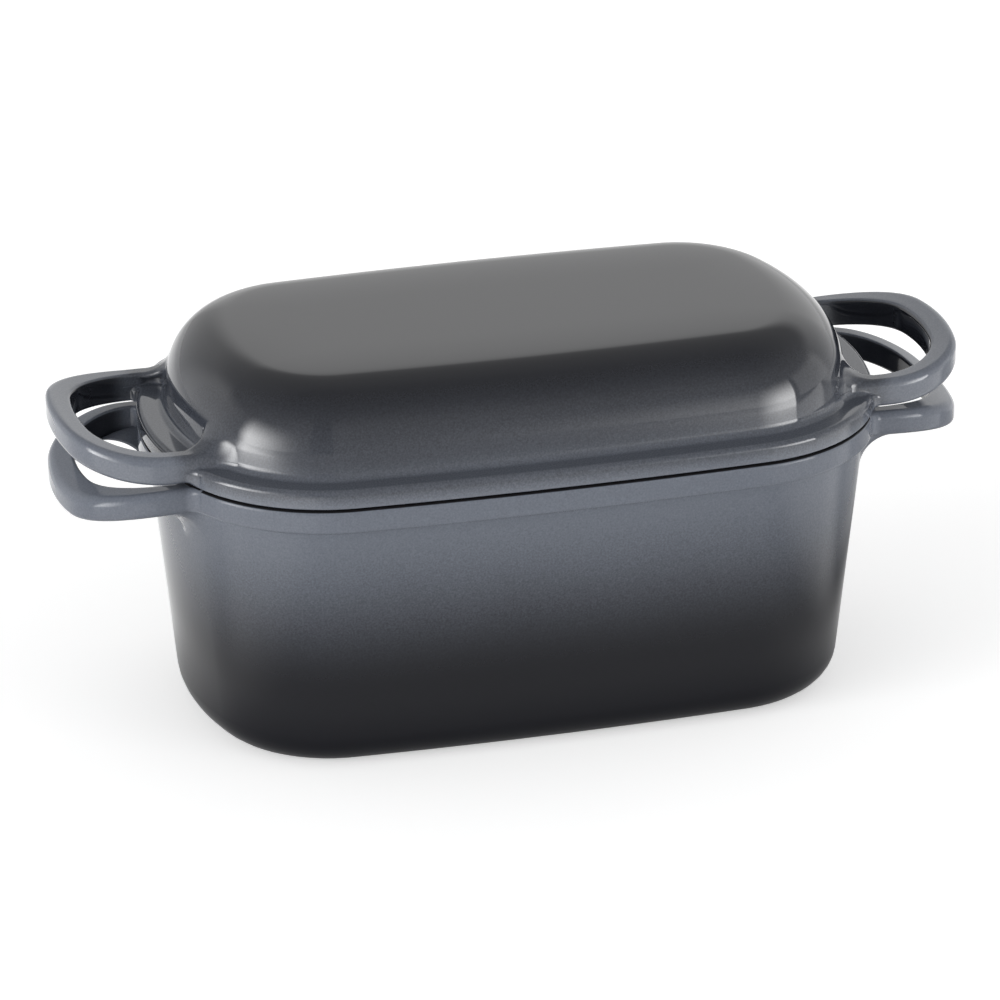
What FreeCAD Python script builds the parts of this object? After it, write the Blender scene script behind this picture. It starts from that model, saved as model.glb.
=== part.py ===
# Rectangular cast iron casserole: a deep pot with two loop handles, and a domed
# lid with two loop handles of the same plan that curve away from those of the pot.
# X runs through the handles, Y across, Z up, origin at the middle of the base.

import FreeCAD, Part
import math
import os
import Sketcher

os.makedirs("parts", exist_ok=True)
doc = FreeCAD.newDocument("Casserole")

# Driving dimensions in millimetres
sizes = {
    # Rim outline seen from above: arched ends, round corners, slightly bowed sides
    "rim_length": 268.0,
    "rim_width": 162.2,
    "end_arc_radius": 121.9,
    "corner_radius": 59.2,
    "side_arc_radius": 1450.0,
    # Pot
    "pot_height": 105.8,
    "rim_setback": 2.4,
    "base_setback": 13.2,
    "base_edge_radius": 13.0,
    "band_height": 9.0,
    "band_edge_radius": 1.4,
    "rim_edge_radius": 0.9,
    "pot_wall": 4.5,
    "pot_floor": 5.0,
    "pot_inner_radius": 11.0,
    # Lid
    "flange_thickness": 7.5,
    "flange_edge_radius": 1.5,
    "seam_relief": 0.5,
    "seam_inset": 3.0,
    "dome_height": 30.7,
    "dome_foot_setback": 10.0,
    "dome_top_setback": 13.0,
    "dome_edge_radius": 25.5,
    "dome_foot_radius": 2.0,
    "lid_wall": 4.5,
    "lip_depth": 3.0,
    "lip_clearance": 1.0,
    "lip_width": 5.0,
    "lip_edge_radius": 1.0,
    # Plan of the handles, shared by pot and lid
    "handle_reach": 33.5,
    "handle_width": 88.4,
    "handle_tip_radius": 100.0,
    "handle_corner_radius": 31.0,
    "handle_flare_radius": 6.0,
    "grip_tip_width": 9.2,
    "grip_arm_width": 7.3,
    "opening_tip_radius": 90.0,
    "opening_corner_radius": 27.0,
    "opening_inset": 19.0,
    # Side view of the handles
    "bend_inset": 3.0,
    "bend_radius": 117.0,
    "outer_edge_radius": 3.0,
    "inner_edge_radius": 1.5,
    "pot_handle_drop": 0.5,
    "pot_handle_thickness": 8.9,
    "pot_root_radius": 17.0,
    "pot_root_offset": 5.5,
    "pot_root_sweep": 88.0,
    "lid_handle_rise": 1.5,
    "lid_handle_thickness": 10.5,
    "lid_root_radius": 10.0,
    "lid_root_offset": 0.5,
    "lid_root_sweep": 64.0,
    # Stock left round a handle before it is trimmed to its plan
    "trim_margin": 6.0,
}

sheet = doc.addObject("Spreadsheet::Sheet", "Sizes")
for row, (size_name, size_value) in enumerate(sizes.items(), start=1):
    sheet.set("A%d" % row, size_name)
    sheet.set("B%d" % row, repr(size_value))
    sheet.setAlias("B%d" % row, size_name)
doc.recompute()


# Sums of named sizes

def split_term(term):
    """Sign, name and divisor of a term such as -rim_length/2."""
    sign = -1 if term.startswith("-") else 1
    name, _, divisor = term.lstrip("-").partition("/")
    return sign, name, float(divisor or 1)


def total(terms):
    """Number that the terms add up to."""
    return sum(sign * sizes[name] / divisor for sign, name, divisor in map(split_term, terms))


def formula(terms):
    """The same sum as a formula on the sheet."""
    words = []
    for sign, name, divisor in map(split_term, terms):
        words.append("%s Sizes.%s / %g" % ("-" if sign < 0 else "+", name, divisor))
    return "0 " + " ".join(words)


def bind(thing, field, *terms):
    """Ties a property to the sum of the terms."""
    thing.setExpression(field, formula(terms))


# Heights that several features share
RIM = ["pot_height"]
FLANGE_FOOT = ["pot_height", "seam_relief"]
FLANGE_TOP = ["pot_height", "flange_thickness"]
LID_TOP = ["pot_height", "flange_thickness", "dome_height"]


class Drawing:
    """A sketch on a plane of its body, with geometry and named sizes."""

    def __init__(self, body, name, role, lift=()):
        self.sketch = body.newObject("Sketcher::SketchObject", name)
        plane = [each for each in body.Origin.OriginFeatures if each.Role == role][0]
        self.sketch.AttachmentSupport = (plane, "")
        self.sketch.MapMode = "FlatFace"
        if lift:
            bind(self.sketch, "AttachmentOffset.Base.z", *lift)

    def line(self, start, end):
        edge = Part.LineSegment(FreeCAD.Vector(*start, 0), FreeCAD.Vector(*end, 0))
        return self.sketch.addGeometry(edge, False)

    def arc(self, centre, radius, start, end):
        circle = Part.Circle(FreeCAD.Vector(*centre, 0), FreeCAD.Vector(0, 0, 1), radius)
        return self.sketch.addGeometry(Part.ArcOfCircle(circle, start, end), False)

    def tie(self, kind, *where):
        self.sketch.addConstraint(Sketcher.Constraint(kind, *where))

    def size(self, label, kind, where, *terms):
        rule = Sketcher.Constraint(kind, *where, total(terms))
        self.sketch.renameConstraint(self.sketch.addConstraint(rule), label)
        bind(self.sketch, "Constraints." + label, *terms)


# Sketcher's names for the ends of an edge, its centre, and the axes
START, END, CENTRE = 1, 2, 3
ORIGIN, ACROSS, UPRIGHT = -1, -1, -2


# Rim outline, which every wall, band, flange and hollow follows at its own setback

def outline_centres():
    """Centres of the end arc, the round corner and the side arc that touch each other."""
    end_x = sizes["rim_length"] / 2 - sizes["end_arc_radius"]
    side_y = sizes["rim_width"] / 2 - sizes["side_arc_radius"]
    to_end = sizes["end_arc_radius"] - sizes["corner_radius"]
    to_side = sizes["side_arc_radius"] - sizes["corner_radius"]
    between = math.hypot(end_x, side_y)
    along = (to_end**2 - to_side**2 + between**2) / (2 * between)
    off = math.sqrt(to_end**2 - along**2)
    unit_x, unit_y = -end_x / between, side_y / between
    corner_x = end_x + along * unit_x - off * unit_y
    corner_y = along * unit_y + off * unit_x
    return end_x, side_y, corner_x, corner_y


def outline(body, name, height, setback):
    """The rim outline at a height, drawn a setback inside the rim."""
    end_x, side_y, corner_x, corner_y = outline_centres()
    turn_end = math.atan2(corner_y, corner_x - end_x)
    turn_side = math.atan2(corner_y - side_y, corner_x)
    inside = total(setback)
    end_radius = sizes["end_arc_radius"] - inside
    corner_radius = sizes["corner_radius"] - inside
    side_radius = sizes["side_arc_radius"] - inside
    drawing = Drawing(body, name, "XY_Plane", height)
    half, full = math.pi, 2 * math.pi
    arcs = [
        drawing.arc((end_x, 0), end_radius, -turn_end, turn_end),
        drawing.arc((corner_x, corner_y), corner_radius, turn_end, turn_side),
        drawing.arc((0, side_y), side_radius, turn_side, half - turn_side),
        drawing.arc((-corner_x, corner_y), corner_radius, half - turn_side, half - turn_end),
        drawing.arc((-end_x, 0), end_radius, half - turn_end, half + turn_end),
        drawing.arc((-corner_x, -corner_y), corner_radius, half + turn_end, half + turn_side),
        drawing.arc((0, -side_y), side_radius, half + turn_side, full - turn_side),
        drawing.arc((corner_x, -corner_y), corner_radius, full - turn_side, full - turn_end),
    ]
    for arc, following in zip(arcs, arcs[1:] + arcs[:1]):
        drawing.tie("Tangent", arc, END, following, START)
    drawing.tie("PointOnObject", arcs[0], CENTRE, ACROSS)
    drawing.tie("PointOnObject", arcs[2], CENTRE, UPRIGHT)
    drawing.tie("Symmetric", arcs[0], CENTRE, arcs[4], CENTRE, ORIGIN, START)
    drawing.tie("Symmetric", arcs[2], CENTRE, arcs[6], CENTRE, ORIGIN, START)
    drawing.tie("Equal", arcs[0], arcs[4])
    drawing.tie("Equal", arcs[2], arcs[6])
    for corner in arcs[3::2]:
        drawing.tie("Equal", arcs[1], corner)
    less = ["-" + term for term in setback]
    drawing.size("end_radius", "Radius", (arcs[0],), "end_arc_radius", *less)
    drawing.size("corner_radius", "Radius", (arcs[1],), "corner_radius", *less)
    drawing.size("side_radius", "Radius", (arcs[2],), "side_arc_radius", *less)
    end_centre = (ORIGIN, START, arcs[0], CENTRE)
    side_centre = (ORIGIN, START, arcs[2], CENTRE)
    drawing.size("end_centre", "DistanceX", end_centre, "rim_length/2", "-end_arc_radius")
    drawing.size("side_centre", "DistanceY", side_centre, "rim_width/2", "-side_arc_radius")
    return drawing.sketch


# Features

def new_body(name):
    body = doc.addObject("PartDesign::Body", name)
    body.Label = name
    return body


def pad(body, name, sketch, *length):
    feature = body.newObject("PartDesign::Pad", name)
    feature.Profile = sketch
    bind(feature, "Length", *length)
    return feature


def lean_walls(body, name, foot_setback, top_setback, height):
    """Leans the upright walls of a block so that its foot outline becomes its top outline."""
    doc.recompute()
    block = body.Tip
    faces = list(enumerate(block.Shape.Faces, start=1))
    level = [(number, face) for number, face in faces if face.Surface.TypeId == "Part::GeomPlane"]
    foot = min(level, key=lambda pair: pair[1].CenterOfMass.z)[0]
    walls = ["Face%d" % number for number, face in faces if face.Surface.TypeId == "Part::GeomCylinder"]
    feature = body.newObject("PartDesign::Draft", name)
    feature.Base = (block, walls)
    feature.NeutralPlane = (block, ["Face%d" % foot])
    feature.Reversed = total(foot_setback) > total(top_setback)
    wider, narrower = (foot_setback, top_setback) if feature.Reversed else (top_setback, foot_setback)
    lean = "atan((%s - (%s)) / (%s))" % (formula(wider), formula(narrower), formula(height))
    feature.setExpression("Angle", lean)
    return feature


def cut_through(body, name, sketch):
    """A pocket that runs both ways through the whole body."""
    feature = body.newObject("PartDesign::Pocket", name)
    feature.Profile = sketch
    feature.Type = "ThroughAll"
    feature.Midplane = True
    return feature


def round_edges(body, name, wanted, *radius):
    """A fillet on the edges of the body so far that the test wants."""
    doc.recompute()
    base = body.Tip
    names = ["Edge%d" % number for number, edge in enumerate(base.Shape.Edges, start=1) if wanted(edge)]
    if not names:
        raise RuntimeError(name + " found no edges")
    feature = body.newObject("PartDesign::Fillet", name)
    feature.Base = (base, names)
    bind(feature, "Radius", *radius)
    return feature


def combine(body, name, kind, tool):
    """Fuses another body into this one, or cuts it out."""
    feature = body.newObject("PartDesign::Boolean", name)
    feature.Type = kind
    feature.setObjects([tool])
    return feature


def at_height(height):
    """Test for level edges at a height."""
    level = total(height)
    return lambda edge: max(abs(edge.BoundBox.ZMin - level), abs(edge.BoundBox.ZMax - level)) < 0.01


def inside_rim(edge):
    """Distance of the middle of an edge inside the rim outline."""
    end_x, side_y, corner_x, corner_y = outline_centres()
    point = edge.valueAt((edge.FirstParameter + edge.LastParameter) / 2)
    x, y = abs(point.x), abs(point.y)
    to_end = sizes["end_arc_radius"] - math.hypot(x - end_x, y)
    to_side = sizes["side_arc_radius"] - math.hypot(x, y - side_y)
    to_corner = sizes["corner_radius"] - math.hypot(x - corner_x, y - corner_y)
    turn = math.atan2(y - corner_y, x - corner_x)
    if turn < math.atan2(corner_y, corner_x - end_x):
        return to_end
    if turn > math.atan2(corner_y - side_y, corner_x):
        return to_side
    return to_corner


def ring(height, *setback):
    """Test for edges at a height that run at a setback inside the rim outline."""
    level = at_height(height)
    return lambda edge: level(edge) and abs(inside_rim(edge) - total(setback)) < 0.05


# Loop handles

def plan_arc_centre(tip_x, tip_radius, corner_radius, half_width):
    """Centre of a corner arc that touches both the tip arc and the straight arm."""
    corner_y = half_width - corner_radius
    corner_x = tip_x - tip_radius + math.sqrt((tip_radius - corner_radius) ** 2 - corner_y**2)
    return corner_x, corner_y


def draw_loop_end(drawing, tip, tip_radius, corner_radius, half_width, root):
    """Tip arc, two corner arcs and two straight arms back to the root; gives the arms."""
    radius, round_radius, half = total([tip_radius]), total([corner_radius]), total(half_width)
    corner_x, corner_y = plan_arc_centre(total(tip), radius, round_radius, half)
    turn = math.asin(corner_y / (radius - round_radius))
    quarter = math.pi / 2
    nose = drawing.arc((total(tip) - radius, 0), radius, -turn, turn)
    upper = drawing.arc((corner_x, corner_y), round_radius, turn, quarter)
    lower = drawing.arc((corner_x, -corner_y), round_radius, -quarter, -turn)
    upper_arm = drawing.line((corner_x, half), (root, half))
    lower_arm = drawing.line((root, -half), (corner_x, -half))
    drawing.tie("Tangent", nose, END, upper, START)
    drawing.tie("Tangent", nose, START, lower, END)
    drawing.tie("Tangent", upper, END, upper_arm, START)
    drawing.tie("Tangent", lower, START, lower_arm, END)
    drawing.tie("PointOnObject", nose, CENTRE, ACROSS)
    drawing.tie("Equal", upper, lower)
    drawing.tie("Horizontal", upper_arm)
    drawing.tie("Horizontal", lower_arm)
    drawing.size("tip_radius", "Radius", (nose,), tip_radius)
    drawing.size("corner_radius", "Radius", (upper,), corner_radius)
    nose_centre = (ORIGIN, START, nose, CENTRE)
    drawing.size("tip_centre", "DistanceX", nose_centre, *tip, "-" + tip_radius)
    drawing.size("upper_arm", "DistanceY", (ORIGIN, START, upper_arm, START), *half_width)
    drawing.size("lower_arm", "DistanceY", (lower_arm, END, ORIGIN, START), *half_width)
    return upper_arm, lower_arm


def handle_trim(body, name):
    """What lies outside the plan of the handle: a frame round arms that flare into the rim."""
    _, _, rim_x, rim_y = outline_centres()
    flare = sizes["handle_flare_radius"]
    half = sizes["handle_width"] / 2
    reach = sizes["corner_radius"] + flare
    rise = half + flare - rim_y
    flare_x = rim_x + math.sqrt(reach**2 - rise**2)
    meet = math.atan2(-rise, rim_x - flare_x)
    foot_y = half + flare + flare * math.sin(meet)
    foot_x = flare_x + flare * math.cos(meet)
    tip = ["rim_length/2", "handle_reach"]
    margin = sizes["trim_margin"]
    drawing = Drawing(body, name, "XY_Plane")
    half_width = ["handle_width/2"]
    arms = draw_loop_end(drawing, tip, "handle_tip_radius", "handle_corner_radius", half_width, flare_x)
    quarter = math.pi / 2
    upper = drawing.arc((flare_x, half + flare), flare, meet, -quarter)
    lower = drawing.arc((flare_x, -half - flare), flare, quarter, -meet)
    upper_foot = drawing.line((foot_x, foot_y), (-margin, foot_y))
    lower_foot = drawing.line((-margin, -foot_y), (foot_x, -foot_y))
    back = drawing.line((-margin, foot_y), (-margin, -foot_y))
    drawing.tie("Tangent", arms[0], END, upper, END)
    drawing.tie("Tangent", arms[1], START, lower, START)
    drawing.tie("Coincident", upper, START, upper_foot, START)
    drawing.tie("Coincident", lower, END, lower_foot, END)
    drawing.tie("Coincident", upper_foot, END, back, START)
    drawing.tie("Coincident", lower_foot, START, back, END)
    drawing.tie("Horizontal", upper_foot)
    drawing.tie("Horizontal", lower_foot)
    drawing.tie("Vertical", back)
    drawing.tie("Equal", upper, lower)
    drawing.size("flare_radius", "Radius", (upper,), "handle_flare_radius")
    outer_x = total(tip) + margin
    outer_y = foot_y + margin
    corners = [(-2 * margin, -outer_y), (outer_x, -outer_y), (outer_x, outer_y), (-2 * margin, outer_y)]
    frame = [drawing.line(*pair) for pair in zip(corners, corners[1:] + corners[:1])]
    for side, following in zip(frame, frame[1:] + frame[:1]):
        drawing.tie("Coincident", side, END, following, START)
    return drawing.sketch


def handle_opening(body, name):
    """The finger opening, which runs back under the rim so that the rim closes it."""
    tip = ["rim_length/2", "handle_reach", "-grip_tip_width"]
    half_width = ["handle_width/2", "-grip_arm_width"]
    root = total(["rim_length/2", "-opening_inset"])
    drawing = Drawing(body, name, "XY_Plane")
    arms = draw_loop_end(drawing, tip, "opening_tip_radius", "opening_corner_radius", half_width, root)
    back = drawing.line((root, total(half_width)), (root, -total(half_width)))
    drawing.tie("Coincident", arms[0], END, back, START)
    drawing.tie("Coincident", arms[1], START, back, END)
    drawing.tie("Vertical", back)
    where = (ORIGIN, START, back, START)
    drawing.size("root", "DistanceX", where, "rim_length/2", "-opening_inset")
    return drawing.sketch


def handle_side_view(body, name, level, rise, thickness, kind):
    """Side view of one handle from the middle outwards. It runs level to the bend,
    then curves away on a large arc, up for rise 1 and down for rise -1. The face on
    the inside of the bend runs back to the root on a smaller hollow arc."""
    bend = total(["rim_length/2", "-bend_inset"])
    bend_radius = sizes["bend_radius"]
    root_radius = sizes[kind + "_root_radius"]
    offset = -rise * sizes[kind + "_root_offset"]
    sweep = math.radians(sizes[kind + "_root_sweep"])
    end_x = total(["rim_length/2", "handle_reach", "trim_margin/2"])
    plain = total(level)
    rooted = plain + rise * total([thickness])
    plain_centre = (bend, plain + rise * bend_radius)
    rooted_centre = (bend, rooted + rise * bend_radius)
    down = math.sqrt((bend_radius - root_radius) ** 2 - offset**2)
    root_centre = (bend + offset, rooted_centre[1] - rise * down)
    tangent = math.atan2(-rise * down, offset)
    reach = math.acos((end_x - bend) / bend_radius)
    drawing = Drawing(body, name, "XZ_Plane")

    def bent_arc(centre, radius, inner, outer):
        """Arc from an inner to an outer angle, both turned for the way of the bend."""
        return drawing.arc(centre, radius, *((inner, outer) if rise > 0 else (outer, inner)))

    first, last = (START, END) if rise > 0 else (END, START)
    straight = -rise * math.pi / 2
    plain_arc = bent_arc(plain_centre, bend_radius, straight, -rise * reach)
    rooted_arc = bent_arc(rooted_centre, bend_radius, tangent, -rise * reach)
    root_arc = bent_arc(root_centre, root_radius, tangent - rise * sweep, tangent)
    height = math.sqrt(bend_radius**2 - (end_x - bend) ** 2)
    plain_end = (end_x, plain_centre[1] - rise * height)
    rooted_end = (end_x, rooted_centre[1] - rise * height)
    root_x = root_centre[0] + root_radius * math.cos(tangent - rise * sweep)
    root_z = root_centre[1] + root_radius * math.sin(tangent - rise * sweep)
    plain_line = drawing.line((0, plain), (bend, plain))
    end_line = drawing.line(plain_end, rooted_end)
    root_line = drawing.line((root_x, root_z), (0, root_z))
    middle = drawing.line((0, root_z), (0, plain))
    drawing.tie("Tangent", plain_line, END, plain_arc, first)
    drawing.tie("Coincident", plain_arc, last, end_line, START)
    drawing.tie("Coincident", end_line, END, rooted_arc, last)
    drawing.tie("Tangent", rooted_arc, first, root_arc, last)
    drawing.tie("Coincident", root_arc, first, root_line, START)
    drawing.tie("Coincident", root_line, END, middle, START)
    drawing.tie("Coincident", middle, END, plain_line, START)
    drawing.tie("Horizontal", plain_line)
    drawing.tie("Horizontal", root_line)
    drawing.tie("Vertical", middle)
    drawing.tie("Vertical", end_line)
    drawing.tie("PointOnObject", middle, START, UPRIGHT)
    drawing.tie("Equal", plain_arc, rooted_arc)
    drawing.tie("Vertical", plain_arc, CENTRE, rooted_arc, CENTRE)
    drawing.size("bend_radius", "Radius", (plain_arc,), "bend_radius")
    drawing.size("root_radius", "Radius", (root_arc,), kind + "_root_radius")
    drawing.size("level", "DistanceY", (ORIGIN, START, plain_line, START), *level)
    bend_start = (ORIGIN, START, plain_arc, CENTRE)
    drawing.size("bend_start", "DistanceX", bend_start, "rim_length/2", "-bend_inset")
    ends = (plain_arc, CENTRE, rooted_arc, CENTRE) if rise > 0 else (rooted_arc, CENTRE, plain_arc, CENTRE)
    drawing.size("thickness", "DistanceY", ends, thickness)
    return drawing.sketch


def handles(name, level, rise, thickness, kind):
    """Both loop handles, joined by a bar through the middle that the hollow removes."""
    body = new_body(name)
    blank = pad(body, name + "_blank", handle_side_view(body, name + "_side", level, rise, thickness, kind),
                "handle_width", "trim_margin", "trim_margin")
    blank.Midplane = True
    cut_through(body, name + "_trim", handle_trim(body, name + "_plan"))
    cut_through(body, name + "_opening", handle_opening(body, name + "_opening_plan"))
    doc.recompute()
    opening_half = total(["handle_width/2", "-grip_arm_width"])

    def along_loop(edge):
        """Edges that run along the loop, on its upper or lower face."""
        box = edge.BoundBox
        return box.XLength > 0.01 and box.XMin > 1.0

    def inner_edge(edge):
        box = edge.BoundBox
        inside_y = max(abs(box.YMin), abs(box.YMax)) < opening_half + 0.01
        inside_x = box.XMax < total(["rim_length/2", "handle_reach", "-grip_tip_width"]) + 0.01
        return along_loop(edge) and inside_x and inside_y

    def outer_edge(edge):
        return along_loop(edge) and not inner_edge(edge)

    round_edges(body, name + "_outer_rounding", outer_edge, "outer_edge_radius")
    round_edges(body, name + "_inner_rounding", inner_edge, "inner_edge_radius")
    return body


def mirror_ends(body, name):
    """The same shape again at the other end."""
    doc.recompute()
    feature = body.newObject("PartDesign::Mirrored", name)
    feature.TransformMode = "Whole shape"
    plane = [each for each in body.Origin.OriginFeatures if each.Role == "YZ_Plane"][0]
    feature.MirrorPlane = (plane, [""])
    body.Tip = feature
    return feature


# Pot

pot_handles = handles("Pot_handles", ["pot_height", "-pot_handle_drop"], -1, "pot_handle_thickness", "pot")
mirror_ends(pot_handles, "Pot_handle_pair")

pot_core = new_body("Pot_core")
floor_setback = ["base_setback", "pot_wall"]
mouth_setback = ["rim_setback", "pot_wall"]
floor_outline = outline(pot_core, "Floor_outline", ["pot_floor"], floor_setback)
pad(pot_core, "Core_block", floor_outline, "pot_height", "-pot_floor", "trim_margin")
lean_walls(pot_core, "Core_lean", floor_setback, mouth_setback, ["pot_height", "-pot_floor"])
round_edges(pot_core, "Floor_edge", at_height(["pot_floor"]), "pot_inner_radius")

pot = new_body("pot")
base_outline = outline(pot, "Base_outline", [], ["base_setback"])
pad(pot, "Wall_block", base_outline, "pot_height")
lean_walls(pot, "Wall_lean", ["base_setback"], ["rim_setback"], RIM)
round_edges(pot, "Base_edge", at_height([]), "base_edge_radius")
band_foot = ["pot_height", "-band_height"]
band_outline = outline(pot, "Band_outline", band_foot, [])
pad(pot, "Rim_band", band_outline, "band_height")
round_edges(pot, "Band_edge", at_height(band_foot), "band_edge_radius")
round_edges(pot, "Rim_edge", ring(RIM), "rim_edge_radius")
combine(pot, "Pot_with_handles", "Fuse", pot_handles)
combine(pot, "Pot_hollow", "Cut", pot_core)
round_edges(pot, "Mouth_edge", ring(RIM, *mouth_setback), "rim_edge_radius")

# Lid

lid_level = ["pot_height", "lid_handle_rise"]
lid_handles = handles("Lid_handles", lid_level, 1, "lid_handle_thickness", "lid")
mirror_ends(lid_handles, "Lid_handle_pair")

lip_foot = ["pot_height", "-lip_depth"]
lip_setback = ["rim_setback", "pot_wall", "lip_clearance"]
hollow_setback = lip_setback + ["lip_width"]
ceiling_setback = ["dome_top_setback", "lid_wall"]
ceiling = LID_TOP + ["-lid_wall"]
hollow_height = ["lip_depth", "flange_thickness", "dome_height", "-lid_wall"]
lid_core = new_body("Lid_core")
hollow_outline = outline(lid_core, "Hollow_outline", lip_foot, hollow_setback)
pad(lid_core, "Hollow_block", hollow_outline, *hollow_height)
lean_walls(lid_core, "Hollow_lean", hollow_setback, ceiling_setback, hollow_height)
round_edges(lid_core, "Ceiling_edge", at_height(ceiling), "dome_edge_radius", "-lid_wall")

dome = new_body("Dome")
foot_outline = outline(dome, "Dome_foot_outline", FLANGE_TOP, ["dome_foot_setback"])
pad(dome, "Dome_block", foot_outline, "dome_height")
lean_walls(dome, "Dome_lean", ["dome_foot_setback"], ["dome_top_setback"], ["dome_height"])
round_edges(dome, "Dome_edge", at_height(LID_TOP), "dome_edge_radius")

lid = new_body("lid")
flange_outline = outline(lid, "Flange_outline", FLANGE_FOOT, [])
pad(lid, "Flange", flange_outline, "flange_thickness", "-seam_relief")
round_edges(lid, "Flange_edge", ring(FLANGE_TOP), "flange_edge_radius")
round_edges(lid, "Flange_foot_edge", ring(FLANGE_FOOT), "rim_edge_radius")
seat_outline = outline(lid, "Seat_outline", RIM, ["seam_inset"])
pad(lid, "Seat", seat_outline, "seam_relief")
lip_outline = outline(lid, "Lip_outline", lip_foot, lip_setback)
pad(lid, "Lip", lip_outline, "lip_depth")
combine(lid, "Lid_with_dome", "Fuse", dome)
round_edges(lid, "Dome_foot", ring(FLANGE_TOP, "dome_foot_setback"), "dome_foot_radius")
combine(lid, "Lid_with_handles", "Fuse", lid_handles)
combine(lid, "Lid_hollow", "Cut", lid_core)
round_edges(lid, "Lip_edge", at_height(lip_foot), "lip_edge_radius")


# Checks, then one file for each casting

doc.recompute()
for thing in doc.Objects:
    if "Invalid" in thing.State or "Error" in thing.State:
        raise RuntimeError("%s is not built: %s" % (thing.Name, thing.State))
for body in (pot, lid):
    shape = body.Shape
    if shape.isNull() or not shape.isValid() or len(shape.Solids) != 1:
        raise RuntimeError(body.Label + " is not one valid solid")
    box = shape.BoundBox
    spans = (box.XMin, box.XMax, box.YMin, box.YMax, box.ZMin, box.ZMax)
    print(body.Label, "volume %.0f" % shape.Volume, "box", " ".join("%.2f" % span for span in spans))
    shape.exportStep(os.path.join("parts", body.Label + ".step"))
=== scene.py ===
import math

import bmesh
import bpy
import numpy as np
from bpy.props import FloatProperty, FloatVectorProperty, PointerProperty
from mathutils import Matrix, Vector


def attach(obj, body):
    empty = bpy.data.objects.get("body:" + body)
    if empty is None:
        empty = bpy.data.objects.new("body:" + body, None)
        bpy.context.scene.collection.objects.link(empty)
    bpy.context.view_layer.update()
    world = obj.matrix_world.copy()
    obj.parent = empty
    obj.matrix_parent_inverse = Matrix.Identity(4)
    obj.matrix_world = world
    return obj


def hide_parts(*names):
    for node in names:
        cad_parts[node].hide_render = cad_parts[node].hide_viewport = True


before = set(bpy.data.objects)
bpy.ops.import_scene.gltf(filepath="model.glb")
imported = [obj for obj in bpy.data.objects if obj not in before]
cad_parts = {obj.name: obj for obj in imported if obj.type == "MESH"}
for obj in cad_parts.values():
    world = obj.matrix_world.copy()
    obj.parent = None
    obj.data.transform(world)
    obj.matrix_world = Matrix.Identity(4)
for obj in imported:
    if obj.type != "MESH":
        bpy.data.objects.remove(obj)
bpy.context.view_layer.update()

bl_info = {
    "name": "Enamelled casserole",
    "version": (1, 0, 0),
    "blender": (4, 5, 0),
    "location": "3D View > Sidebar > Casserole",
    "description": "Faded enamel for a rectangular cast iron casserole, with its studio",
    "category": "Object",
}

MM = 0.001


# Sizes and colours that a user would change

class EnamelSettings(bpy.types.PropertyGroup):
    grey: FloatVectorProperty(
        name="Grey coat", description="Colour at the rim and handles",
        default=(0.130, 0.143, 0.172), subtype="COLOR", size=3, min=0, max=1)
    black: FloatVectorProperty(
        name="Black coat", description="Colour that the grey fades into",
        default=(0.0036, 0.0039, 0.0067), subtype="COLOR", size=3, min=0, max=1)
    inside: FloatVectorProperty(
        name="Inside coat", description="Colour of the satin inside",
        default=(0.010, 0.010, 0.011), subtype="COLOR", size=3, min=0, max=1)
    pot_fade_foot: FloatProperty(
        name="Pot fade foot", description="Height where the pot is all black",
        default=30 * MM, unit="LENGTH")
    pot_fade_head: FloatProperty(
        name="Pot fade head", description="Height where the pot is all grey",
        default=100 * MM, unit="LENGTH")
    lid_fade_foot: FloatProperty(
        name="Lid fade foot", description="Height where the lid is all grey",
        default=107 * MM, unit="LENGTH")
    lid_fade_head: FloatProperty(
        name="Lid fade head", description="Height where the lid is all black",
        default=143 * MM, unit="LENGTH")


class StudioSettings(bpy.types.PropertyGroup):
    azimuth: FloatProperty(
        name="Azimuth", description="Turn of the camera from the front",
        default=math.radians(-15.28), subtype="ANGLE")
    elevation: FloatProperty(
        name="Elevation", description="Height angle of the camera",
        default=math.radians(23.2), subtype="ANGLE")
    roll: FloatProperty(
        name="Roll", description="Lean of the camera",
        default=math.radians(-0.29), subtype="ANGLE")
    distance: FloatProperty(
        name="Distance", description="From the camera to the point that it looks at",
        default=2104.9 * MM, unit="LENGTH")
    aim_height: FloatProperty(
        name="Aim height", description="Height of the point that the camera looks at",
        default=74.6 * MM, unit="LENGTH")
    lens: FloatProperty(name="Lens", description="Focal length in millimetres", default=207.45)
    shift_x: FloatProperty(name="Shift X", description="Sideways shift of the view", default=-0.00584)
    shift_y: FloatProperty(name="Shift Y", description="Upright shift of the view", default=-0.0165)
    floor: FloatVectorProperty(
        name="Floor", description="Colour of the floor and backdrop",
        default=(0.85, 0.85, 0.85), subtype="COLOR", size=3, min=0, max=1)
    floor_white: FloatProperty(
        name="Floor white", description="How much whiter the camera sees the floor", default=0.46)
    floor_glow: FloatProperty(
        name="Floor glow", description="How much whiter reflections show the floor", default=0.5)
    box_light: FloatProperty(
        name="Soft boxes", description="Strength of the two soft boxes in the surround", default=10.0)


# Shader maths written as expressions

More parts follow.
